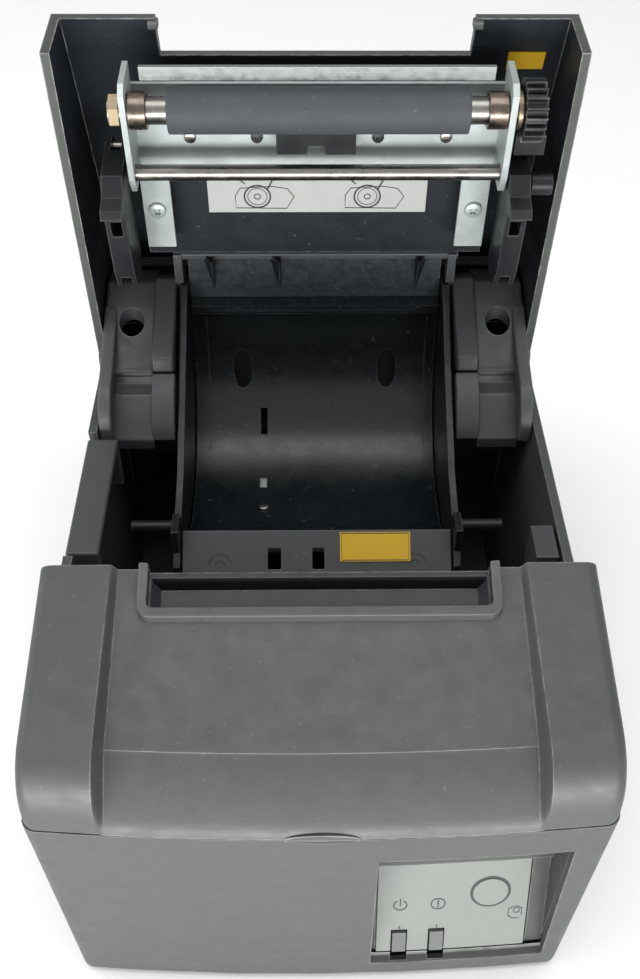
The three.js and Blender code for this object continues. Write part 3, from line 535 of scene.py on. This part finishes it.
def exit_rim():
    """Raised rim round the paper exit, open at the rear."""
    outer = rounded_u(EXIT_HALF, EXIT_FRONT, 3.2, COVER_REAR)
    inner = rounded_u(EXIT_INSIDE, EXIT_LIP - 0.6, 1.6, COVER_REAR)
    bm = bmesh.new()
    rings = []
    for outline, drop in ((outer, 4.6), (outer, 0.0), (inner, 0.25), (inner, 7.0)):
        rings.append([bm.verts.new(mm(x, y, rim_height(y) - drop)) for x, y in outline])
    for low, high in zip(rings, rings[1:] + rings[:1]):
        for i in range(len(low) - 1):
            bm.faces.new((low[i], low[i + 1], high[i + 1], high[i]))
    for end in (0, -1):
        bm.faces.new([ring[end] for ring in rings])
    rim = add_piece("exit_rim", mesh_from(bm, "exit_rim"), "case", "front_cover")
    round_edges(rim, 0.45, 3)


def exit_tray():
    """Dark floor and side slopes inside the rim, in front of the tear bar."""
    half, rear = EXIT_INSIDE - 0.15, 48.4
    narrowing, run_back = 0.055, 0.45      # how far the slopes lean in, and the front slope back
    rows = []
    for share, drop in ((0.0, 2.2), (0.12, 3.4), (0.55, 5.6), (1.0, 7.2)):
        row = []
        for x, y in rounded_u(half, EXIT_LIP - 0.4, 1.6, rear):
            pull = 1 - narrowing * share
            row.append(mm(x * pull, y + (rear - 0.6 - y) * run_back * share if y < rear else y,
                          rim_height(y) - drop))
        rows.append(row)
    rows.append([(a + b) / 2 for a, b in zip(rows[-1], reversed(rows[-1]))])
    tray = add_piece("exit_tray", grid_mesh("exit_tray", rows), "inner", "front_cover")
    thicken(tray, 0.6, 1)
    shaded(tray.data)


NOTCH = (9.0, 1.05, 1.75)              # half sizes of the finger notch across the seam
NOTCH_AT = (0, -8.35, SEAM_FRONT)
NOTCH_SIDES = 40


def lens_tool():
    """Flattened ball that cuts the finger notch."""
    mesh = turned("tool", [(math.cos(math.radians(a)), math.sin(math.radians(a))) for a in range(-90, 91, 10)],
                  (0, 0, 0), (0, 0, 1), NOTCH_SIDES)
    centre = mm(*NOTCH_AT)
    for vert in mesh.vertices:
        vert.co = centre + Vector([vert.co[i] * NOTCH[i] for i in range(3)])
    return mesh


def front_cover():
    """Cover with its paper exit and the finger notch that it shares with the lower case."""
    cover = cover_shell()
    cut(cover, block("tool", -EXIT_INSIDE, EXIT_INSIDE, EXIT_LIP, 60, 92, 120), lens_tool())
    cut(shapes["lower_case"], lens_tool())
    even_shading(shapes["lower_case"])
    round_edges(cover, 0.3, 2, 40)
    exit_rim()
    exit_tray()
    rows = []
    for share in (0.0, 0.25, 0.5, 0.7, 0.85, 0.95, 1.0):
        deep = 0.9 * math.sqrt(1 - share * share) - 0.05
        turns = (2 * math.pi * i / NOTCH_SIDES for i in range(NOTCH_SIDES + 1))
        rows.append([mm(NOTCH[0] * share * math.cos(a), NOTCH_AT[1] + deep,
                        NOTCH_AT[2] + NOTCH[2] * share * math.sin(a)) for a in turns])
    notch = add_piece("notch_dish", grid_mesh("notch_dish", rows), "case", "front_cover")
    thicken(notch, 0.4, 0)
    shaded(notch.data, 50)


# ---------------------------------------------------------------- base shoulders
SIDES = (("left", -1), ("right", 1))


def shoulder(name, side):
    """Moulded shoulder beside the roll bay: sloping top, step, inner facet strip and outer guard."""
    x_in, x_out, x_strip, x_wall = 44.6, 67.6, 52.0, 63.8
    well_x, well_y = side * 59, 158.5

    def piece(label, outline, x0, x1, width=0.8, look="inner"):
        low, high = sorted((side * x0, side * x1))
        made = add_piece(f"shoulder_{name}_{label}", prism(label, outline, low, high), look, "base")
        round_edges(made, width, 3)
        return made

    top = [(143.8, 92.6), (146.4, 93.4), (159.5, 102.4), (163.2, 104.8), (171.5, 108.4), (178, 107.6),
           (184, 104.4), (189.6, 98.0)]
    slope = piece("slope", top + [(189.6, 95.2), (171, 104.4), (143.8, 89.4)], x_strip - 0.6, x_out, 1.1)
    well = turned("tool", [(3.9, -14), (4.3, 12)], mm(well_x, well_y, 104), (0, 0, 1), 40)
    cut(slope, well)
    cup = turned("cup", [(4.25, -3.4), (3.9, -9), (1.9, -9.4), (1.7, -14), (0, -14.2), (0, -15.2), (4.7, -15.2),
                         (4.7, -3.4)], mm(well_x, well_y, 101.6), (0, 0, 1), 40)
    add_piece(f"shoulder_{name}_well", cup, "black", "base")
    piece("step", [(137.4, 88.6), (143.0, 88.9), (144.4, 92.4), (144.4, 85), (137.4, 84)], x_strip - 0.4, x_wall,
          0.35, "case")
    piece("face", [(127.4, 78.4), (137.6, 88.4), (139, 84), (131, 74.6), (127.4, 74.6)], x_strip - 0.6,
          x_wall + 0.6, 0.5)
    rise = [(125.4 + 12.6 * (1 - math.cos(a)), 79 + 16.4 * math.sin(a))
            for a in (math.radians(d) for d in range(0, 76, 15))]
    guard = rise + [(144, 97.4), (151, 99.8), (158, 102.8), (163.2, 104.9), (163.2, 99), (150, 90), (136, 79)]
    piece("guard", guard, x_wall, x_out + 0.3, 0.7, "case")
    strip = [(143.2, 93.2), (144.6, 97.6), (156, 102.0), (171.6, 109.6), (175.6, 108.6), (176, 104), (160, 97),
             (147, 90.4)]
    piece("strip", strip, x_in + 0.4, x_strip, 0.9)
    toe = [(127.6, 78.0), (130.2, 84.2), (137.2, 90.6), (143.0, 93.2), (144.6, 88), (134, 76)]
    piece("toe", toe, x_in, x_strip, 0.6)


def shoulders():
    """Both shoulders, the bridge behind the bay and the skirts under the shoulders' outer edges."""
    for name, side in SIDES:
        shoulder(name, side)
    outline = [(177, 95.6), (177, 99.6), (181, 100.4), (190.6, 98.2), (190.6, 95)]
    bridge = add_piece("rear_bridge", prism("rear_bridge", outline, -50, 50), "inner", "base",
                       ("top_frame",))
    round_edges(bridge, 0.5)
    outline = [(125.4, 79), (147, 88.6), (160, 96), (190, 90.5), (190, 97.6), (184, 104), (171.5, 108),
               (163.2, 104.4), (128.6, 88)]
    for name, side in SIDES:
        low, high = sorted((side * 65.4, side * 67.6))
        skirt = add_piece(f"skirt_{name}", prism("skirt", outline, low, high), "inner", "base")
        round_edges(skirt, 0.4)


# ---------------------------------------------------------------- roll bay
BAY_Y, BAY_Z, BAY_R = 129.5, 90.0, 42.0
BAY_HALF = 41.0
SLOT_TOP, SLOT_BOTTOM = BAY_R - 3, BAY_R + 5           # radii between which a slot's tool cuts


def bay_point(x, degrees, radius=BAY_R):
    """Point of the round scoop: 0 degrees is its rear, -90 its bottom."""
    angle = math.radians(degrees)
    return mm(x, BAY_Y + radius * math.cos(angle), BAY_Z + radius * math.sin(angle))


def scoop():
    """Round paper scoop with its sensor slots."""
    first, last, spans = -131, 8, 90
    rows = [[bay_point(x, a) for x in (-BAY_HALF, -40.2, -30, -20, -10, 0, 10, 20, 30, 40.2, BAY_HALF)]
            for a in (first + (last - first) * i / spans for i in range(spans + 1))]
    bay = add_piece("bay_scoop", grid_mesh("bay_scoop", rows), "gloss", "base", ("roll_holder",))
    face = bay.data.polygons[0]
    thicken(bay, 2, 1 if face.normal.dot(face.center - bay_point(0, 0, 0)) > 0 else -1)
    square = [(-18.9, -53.4), (-16.5, -53.4), (-16.5, -40.6), (-18.9, -40.6)]
    cut(bay, slab("tool", square, SLOT_TOP, SLOT_BOTTOM, bay_point))
    low, high, half, squareness = -31, -12.2, 3.2, 0.85
    middle, reach = (low + high) / 2, (high - low) / 2
    for x in (-24.8, 24.8):
        outline = [(x + half * math.cos(t),
                    middle + reach * math.copysign(abs(math.sin(t)) ** squareness, math.sin(t)))
                   for t in (2 * math.pi * i / 28 for i in range(28))]
        cut(bay, slab("tool", outline, SLOT_TOP, SLOT_BOTTOM, bay_point))
    shaded(bay.data, 40)


def wedge_rib(x, lean):
    """Brace of the bay's back wall: wide at the top, running down to a point."""
    half, top = 2.3, 118.2
    bm = bmesh.new()
    corners = [bm.verts.new(mm(*place)) for place in ((x - half, 172.9, top), (x + half, 172.9, top),
                                                      (x + lean, 167.2, top), (x + lean, 172.4, 103.4))]
    for face in ((0, 1, 2), (0, 2, 3), (1, 3, 2), (0, 3, 1)):
        bm.faces.new([corners[i] for i in face])
    return mesh_from(bm, "bay_rib_painted_shade")


def roll_bay():
    """Scoop, back wall with its rail, ledge and ribs, and the small parts in the scoop."""
    scoop()
    wall = [(171.5, 93), (174.5, 93), (174.5, 118.6), (172.7, 118.6)]
    back = add_piece("bay_back", prism("bay_back", wall, -BAY_HALF, BAY_HALF), "back", "base")
    round_edges(back, 0.25)
    lip = [(170.9, 117.0), (170.9, 118.8), (171.6, 119.4), (176.8, 119.4), (177.6, 118.6), (177.6, 113.4),
           (176.6, 113.4), (176.0, 117.8), (171.8, 116.6)]
    rail = add_piece("bay_rail", prism("bay_rail", lip, -BAY_HALF - 4.2, BAY_HALF + 5.0), "inner", "base")
    round_edges(rail, 0.35, 3)
    outline = [(170.4, 119.0), (177.2, 119.0), (177.2, 104), (172.4, 104), (170.0, 109)]
    for name, side in SIDES:
        low, high = sorted((side * (BAY_HALF + 1.6), side * (BAY_HALF + 4.4)))
        end = add_piece(f"rail_end_{name}", prism("rail_end", outline, low, high), "inner", "base")
        round_edges(end, 0.35)
    outline = [(167.4, 101.3), (171.6, 102.0), (171.6, 100.6), (168.2, 99.8)]
    ledge = add_piece("bay_ledge", prism("bay_ledge", outline, -BAY_HALF + 0.2, BAY_HALF - 0.2), "worn", "base")
    round_edges(ledge, 0.3)
    # The ribs are real braces, drawn in the black moulding that is darker than the back wall: painted shade for
    # their shaded sides and the shadows they cast.
    for i, x in enumerate((-34.2, -12.8, 34.4)):
        add_piece(f"bay_rib_painted_shade_{i + 1}", wedge_rib(x, -1.4 if x > 0 else 1.4), "black", "base")
    for i, x in enumerate((-36.4, 37.8)):
        left, right, top, bottom = x - 0.2, x + 0.2, BAY_R - 0.12, BAY_R + 0.3
        section = ((left, top), (right, top), (right, bottom), (left, bottom), (left, top))
        rows = [[bay_point(px, a, radius) for px, radius in section] for a in range(-60, 9, 3)]
        add_piece(f"bay_bead_{i + 1}", grid_mesh(f"bay_bead_{i + 1}", rows), "black", "base")
    tile = [[bay_point(x, a, BAY_R - 0.15) for x in (-19.0, -16.6)] for a in (-81, -79.5, -78, -76)]
    window = add_piece("paper_end_window", grid_mesh("paper_end_window", tile), "white", "base")
    thicken(window, 0.4)
    screw("bay_screw", bay_point(-17.4, -93.1, BAY_R - 0.1), (0, 0.05, 1), 1.9, "steel", "base")


def screw(name, base, axis, radius, look, body, stands_for=()):
    """Pan head with a cross recess."""
    profile = [(0, -0.4), (radius, -0.4), (radius, 0.18 * radius), (radius * 0.93, 0.33 * radius),
               (radius * 0.7, 0.44 * radius), (radius * 0.35, 0.49 * radius), (0, 0.5 * radius)]
    arm, arm_half, foot_share = 0.68, 0.17, 0.5            # cross recess, as shares of the radius
    head = add_piece(name, turned(name, profile, base, axis, 28), look, body, stands_for)
    axis = Vector(axis).normalized()
    across = axis.orthogonal().normalized()
    beside = axis.cross(across)
    for first, second in ((across, beside), (beside, across)):
        bm = bmesh.new()
        corners = []
        for level, spread in ((0.12, foot_share), (1.0, 1.0)):
            for a, b in ((-1, -1), (1, -1), (1, 1), (-1, 1)):
                spot = Vector(base) + (axis * level * radius + first * a * radius * arm * spread
                                       + second * b * radius * arm_half) / 1000
                corners.append(bm.verts.new(spot))
        for face in ((0, 1, 2, 3), (4, 5, 6, 7), (0, 1, 5, 4), (1, 2, 6, 5), (2, 3, 7, 6), (3, 0, 4, 7)):
            bm.faces.new([corners[i] for i in face])
        cut(head, mesh_from(bm, "tool"))


# ---------------------------------------------------------------- panel
PANEL_Y, PANEL_Z, PANEL_LEAN = -3.4, 12.0, math.radians(18.5)


def panel_point(x, along, out=0.0):
    """Point of the sloping front panel: along runs up it, out stands off it."""
    y = PANEL_Y + along * math.sin(PANEL_LEAN) - out * math.cos(PANEL_LEAN)
    return mm(x, bowed(x, y), PANEL_Z + along * math.cos(PANEL_LEAN) + out * math.sin(PANEL_LEAN))


def stroke(points, width, closed=False):
    """Left and right edges of a line of constant width through (a, b) points."""
    edges = []
    count = len(points)
    for i, (a, b) in enumerate(points):
        before = points[i - 1] if i or closed else points[i]
        after = points[(i + 1) % count] if i < count - 1 or closed else points[i]
        way = Vector((after[0] - before[0], after[1] - before[1])).normalized()
        da, db = way.y * width / 2, way.x * width / 2
        edges.append(((a - da, b + db), (a + da, b - db)))
    return edges + edges[:1] if closed else edges


def printed(name, strokes, look, body, place, height):
    """Printed line work: raised strokes, each a list of (a, b) points, a width and whether it closes."""
    bm = bmesh.new()
    for points, width, closed in strokes:
        edges = stroke(points, width, closed)
        rows = [[bm.verts.new(place(*spot, level)) for spot, level in
                 ((left, 0.0), (left, height), (right, height), (right, 0.0), (left, 0.0))]
                for left, right in edges]
        for low, high in zip(rows, rows[1:]):
            for i in range(4):
                bm.faces.new((low[i], low[i + 1], high[i + 1], high[i]))
        if not closed:
            for row in (rows[0], rows[-1]):
                bm.faces.new(row[:4])
    bmesh.ops.remove_doubles(bm, verts=bm.verts, dist=WELD_PRINT)
    add_piece(name, mesh_from(bm, name), look, body)


def circle(cx, cy, radius, start=0, end=360, steps=36):
    """Points of a circle, or of an arc from start to end degrees."""
    turns = [math.radians(start + (end - start) * i / steps) for i in range(steps + (end - start != 360))]
    return [(cx + radius * math.cos(t), cy + radius * math.sin(t)) for t in turns]


def panel():
    """Plate, button and light pipes, with generic printed marks."""
    for node, width in (("panel_plate", 0.12), ("feed_button", 0.15), ("light_pipe_power", 0.25),
                        ("light_pipe_error", 0.25)):
        refined(node, None, width)
    marks = [
        (circle(45.6, 19, 5.15, steps=48), 0.75, True),
        (circle(21.4, 15.6, 1.75, 120, 420, 24), 0.34, False), ([(21.4, 15.4), (21.4, 18.0)], 0.34, False),
        (circle(31.6, 15.6, 1.9, steps=28), 0.32, True), ([(31.6, 15.2), (31.6, 16.9)], 0.42, False),
        ([(31.6, 14.3), (31.6, 14.75)], 0.42, False),
    ]
    roll = [([(51.0, 9.6), (51.0, 12.2), (53.4, 13.0), (54.6, 12.0), (54.6, 9.4)], 0.22, False),
            (circle(53.2, 11.4, 0.9, steps=16), 0.2, True), ([(51.0, 9.6), (52.4, 8.4), (54.0, 8.4)], 0.22, False)]
    ticks = [([(x, 6.7), (x, 7.9)], 0.3, False) for x in (21.4, 31.6)]
    for name, strokes in (("panel_marks", marks + roll), ("panel_ticks", ticks)):
        printed(name, strokes, "ink", "base", lambda a, b, level: panel_point(a, b, level + 0.02), 0.05)


# ---------------------------------------------------------------- labels
DECK_FRONT, DECK_REAR = (84, 56.5), (98.4, 67.6)       # (y, z) of the sloping deck's ends
DECK_LABEL, LID_LABEL = 0.41, 10.98                    # levels of the labels' faces


def on_deck(x, along, up):
    """The sloping printing deck's own frame."""
    tilt = math.atan2(DECK_REAR[1] - DECK_FRONT[1], DECK_REAR[0] - DECK_FRONT[0])
    return mm(x, DECK_FRONT[0] + along * math.cos(tilt) - up * math.sin(tilt),
              DECK_FRONT[1] + along * math.sin(tilt) + up * math.cos(tilt))


def labels():
    """Blank labels, with a border on one and a generic loading drawing on another."""
    for node in ("heat_label", "loading_label", "static_label"):
        refined(node, None, 0)
    frame_line = [(7.5, 8.8), (28.0, 8.8), (28.0, 17.0), (7.5, 17.0)]
    printed("heat_border", [(frame_line, 0.3, True)], "ink", "base",
            lambda a, b, level: on_deck(a, b, level + DECK_LABEL), 0.03)
    machine = []
    for x0 in (-24.0, 9.0):
        outline = [(x0, 50.6), (x0 + 15.4, 50.4), (x0 + 17.6, 54.6), (x0 + 15.6, 57.4), (x0 + 11.2, 58.2),
                   (x0 + 1.6, 57.6), (x0, 55.0)]
        machine.append((outline, 0.28, True))
        for radius, width in ((3.9, 0.5), (2.9, 0.22), (0.9, 0.3)):
            machine.append((circle(x0 + 6.6, 54.6, radius, steps=28), width, True))
        machine.append(([(x0 + 9.6, 57.0), (x0 + 11.4, 60.8), (x0 + 11.8, 63.6)], 0.5, False))
        machine.append(([(x0 - 0.6, 62.6), (x0 + 3.0, 59.0)], 0.4, False))
    printed("loading_drawing", machine, "ink", "lid", lambda a, b, level: on_lid(a, b, LID_LABEL - level), 0.05)


# ---------------------------------------------------------------- deck and lid details
def deck_details():
    """Moulded half rings on the deck."""
    rings = [(circle(x, 7.4, radius, 10, 170, steps), width, False)
             for radius, steps, width in ((3.5, 24, 0.35), (1.5, 16, 0.25)) for x in (-29.5, 29.8)]
    printed("deck_rings", rings, "black", "base", on_deck, 0.12)


def lid_liner():
    """Flat panel under the lid, ending just above the roll bay's rail."""
    sheet = [(33.4, 11.6), (84, 11.6), (84, 13.4), (33.4, 13.4)]
    liner = add_piece("lid_liner_shape", prism("lid_liner", sheet, -52, 52, on_lid), "lid_in", "lid",
                      ("lid_liner",))
    round_edges(liner, 0.3)


def lid_lugs():
    """Small stops at the corners of the lid's front notch."""
    outline = [(104.6, 14.6), (106.9, 14.6), (106.9, 17.6), (104.6, 17.6)]
    for name, side in SIDES:
        x = side * 43.6
        lug = add_piece(f"lid_lug_{name}", prism("lug", outline, x - 1.4, x + 1.4, on_lid), "case", "lid")
        round_edges(lug, 0.4)


def lid_screws():
    """Screws of the platen frame, facing in from the lid."""
    inwards, plate = on_lid(0, 0, -1) - on_lid(0, 0, 0), 4.5
    for name, side in SIDES:
        screw(f"frame_screw_{name}_shape", on_lid(side * 46.8, 54.6, plate), inwards, 2.6, "zinc", "lid",
              (f"frame_screw_{name}",))
    for i, (x, look) in enumerate(((-35.2, "steel"), (36.5, "steel"), (-16.5, "black"), (17.4, "black"))):
        screw(f"plate_screw_{i + 1}", on_lid(x, 78.8, plate), inwards, 1.7, look, "lid")


# CAD nodes that keep their shape and get rounded edges: node: (look, or None for its slot's own, edge width)
REFINED = {
    "lower_case": ("case", 0.5),
    "corner_block": ("inner", 0.4), "side_plate_left": ("black", 0.3), "side_plate_right": ("black", 0.3),
    "paper_guide": ("inner", 0.3), "tear_bar": ("black", 0.1), "open_lever": ("case", 0.8),
    "lid_shell": ("lid", 0.5),
    "hinge_pin_left": (None, 0.2), "hinge_pin_right": (None, 0.2),
    "platen_frame": (None, 0.12), "platen_shaft": (None, 0.2), "platen_rubber": (None, 0.3),
    "bearing_left": ("bearing", 0.3), "bearing_right": ("bearing", 0.3),
    "end_nut": (None, 0.25), "washer": (None, 0.15),
    "platen_gear": (None, 0.12), "blade_bar": ("blade", 0.2), "guide_shaft": (None, 0.3),
    "paper_sensor": (None, 0.35), "gear_bracket": (None, 0.35), "idler_roller": (None, 0.4),
    "latch_shaft": (None, 0.2),
    "latch_arm_left": (None, 0.25), "latch_arm_right": (None, 0.25), "power_inlet": (None, 0.3),
    "data_port": (None, 0.3), "drawer_port": (None, 0.3),
    "power_switch": (None, 0.4), "foot_1": (None, 0.3), "foot_2": (None, 0.3), "foot_3": (None, 0.3),
    "foot_4": (None, 0.3), "latch_spring_left": (None, 0), "latch_spring_right": (None, 0),
}
shapes = {node: refined(node, look, width) for node, (look, width) in REFINED.items()}
front_cover()
shoulders()
roll_bay()
panel()
labels()
deck_details()
lid_liner()
lid_screws()
lid_lugs()
REBUILT = {"lid_liner", "frame_screw_left", "frame_screw_right", "front_cover", "top_frame", "roll_holder",
           "panel_plate", "feed_button", "light_pipe_power", "light_pipe_error", "heat_label", "loading_label",
           "static_label"}
for name, source in nodes.items():
    if name not in REFINED and name not in REBUILT:
        source.data.materials[0] = looks[SLOT_LOOK[source.data.materials[0].name]]


# ---------------------------------------------------------------- floor, light and camera
def plain_surface(name, colour, rough):
    g = Graph(name)
    g.set("Base Color", g.mix(g.noise(4, 2), (*[c * 0.995 for c in colour], 1), (*colour, 1)))
    g.set("Roughness", rough)
    return g.material


def studio():
    """Pale floor, white surroundings and three soft lamps."""
    reach = 6.0
    bm = bmesh.new()
    bm.faces.new([bm.verts.new((x * reach, y * reach, 0)) for x, y in ((-1, -1), (1, -1), (1, 1), (-1, 1))])
    floor_mesh = mesh_from(bm, "floor", False)
    floor = bpy.data.objects.new("floor", floor_mesh)
    bpy.context.collection.objects.link(floor)
    floor_mesh.materials.append(plain_surface("pale_floor", (0.93, 0.93, 0.93), 0.6))

    scene = bpy.context.scene
    scene.world = bpy.data.worlds.new("studio")
    scene.world.use_nodes = True
    background = scene.world.node_tree.nodes["Background"]
    background.inputs["Color"].default_value = (1.0, 1.0, 1.0, 1)
    background.inputs["Strength"].default_value = 0.72

    lamps = (
        ("overhead", (0.0, -0.05, 0.95), (0, 0.02, 0.05), 1.1, 0.5, 4.2),
        ("front", (-0.05, -0.62, 0.07), (0, -0.10, 0.03), 1.0, 0.14, 7.5),
        ("side", (-1.0, 0.1, 0.55), (0, 0, 0.08), 0.8, 0.8, 3.0),
    )
    for name, place, aim, width, height, watts in lamps:
        data = bpy.data.lights.new(name, "AREA")
        data.shape = "RECTANGLE"
        data.size, data.size_y, data.energy = width, height, watts
        lamp = bpy.data.objects.new(name, data)
        lamp.location = place
        lamp.rotation_euler = (Vector(aim) - Vector(place)).to_track_quat("-Z", "Y").to_euler()
        bpy.context.collection.objects.link(lamp)
    scene.view_settings.view_transform = "Standard"


FOCAL_PIXELS, FRAME_HEIGHT = 1100, 979                 # focal length in the photograph's pixels
SENSOR = 24


def camera():
    """The photograph's view."""
    place = mm(-3.6, -130.9, 314.4)
    pitch, yaw, roll = math.radians(45), math.radians(1.11), math.radians(-0.48)
    forward = Vector((math.sin(yaw) * math.cos(pitch), math.cos(yaw) * math.cos(pitch), -math.sin(pitch)))
    level = Vector((math.cos(yaw), -math.sin(yaw), 0))
    down = forward.cross(level)
    right = level * math.cos(roll) + down * math.sin(roll)
    down = down * math.cos(roll) - level * math.sin(roll)
    data = bpy.data.cameras.new("camera")
    data.sensor_width = SENSOR
    data.lens = FOCAL_PIXELS / FRAME_HEIGHT * SENSOR
    data.clip_start = 0.01
    eye = bpy.data.objects.new("camera", data)
    eye.matrix_world = Matrix((
        (right.x, -down.x, -forward.x, place.x), (right.y, -down.y, -forward.y, place.y),
        (right.z, -down.z, -forward.z, place.z), (0, 0, 0, 1)))
    bpy.context.collection.objects.link(eye)
    bpy.context.scene.camera = eye


camera()
studio()
